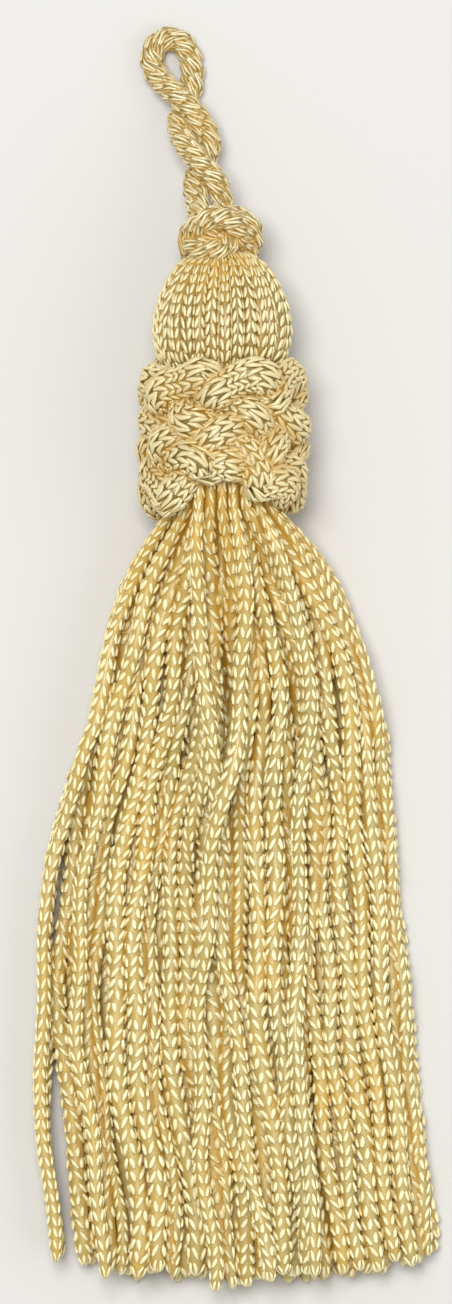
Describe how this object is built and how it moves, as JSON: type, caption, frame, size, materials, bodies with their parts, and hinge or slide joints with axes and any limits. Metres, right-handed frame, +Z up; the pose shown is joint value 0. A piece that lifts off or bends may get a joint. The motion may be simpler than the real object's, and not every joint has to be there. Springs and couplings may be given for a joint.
{
  "type": "silk tassel",
  "caption": "Tassel of knitted silk strands with a domed head, a woven cord collar, an overhand knot and a twisted hanging loop, lying on its back.",
  "frame": {"origin": "centre of the tassel's footprint without its hanging loop, on the surface that it lies on", "axes": "+Y along the tassel from its cut ends to its knot and loop, +Z up from the surface that it lies on"},
  "size_m": [0.0401, 0.1249, 0.0162],
  "materials": {
    "strand_silk": "shiny knitted silk",
    "collar_silk": "shiny silk cord, woven",
    "knot_silk": "shiny silk cord, knotted",
    "loop_silk": "shiny silk cord, twisted"
  },
  "bodies": {
    "root": {"strands": "strand_silk", "collar": "collar_silk", "top_knot": "knot_silk", "hanging_loop": "loop_silk"}
  },
  "joints": []
}
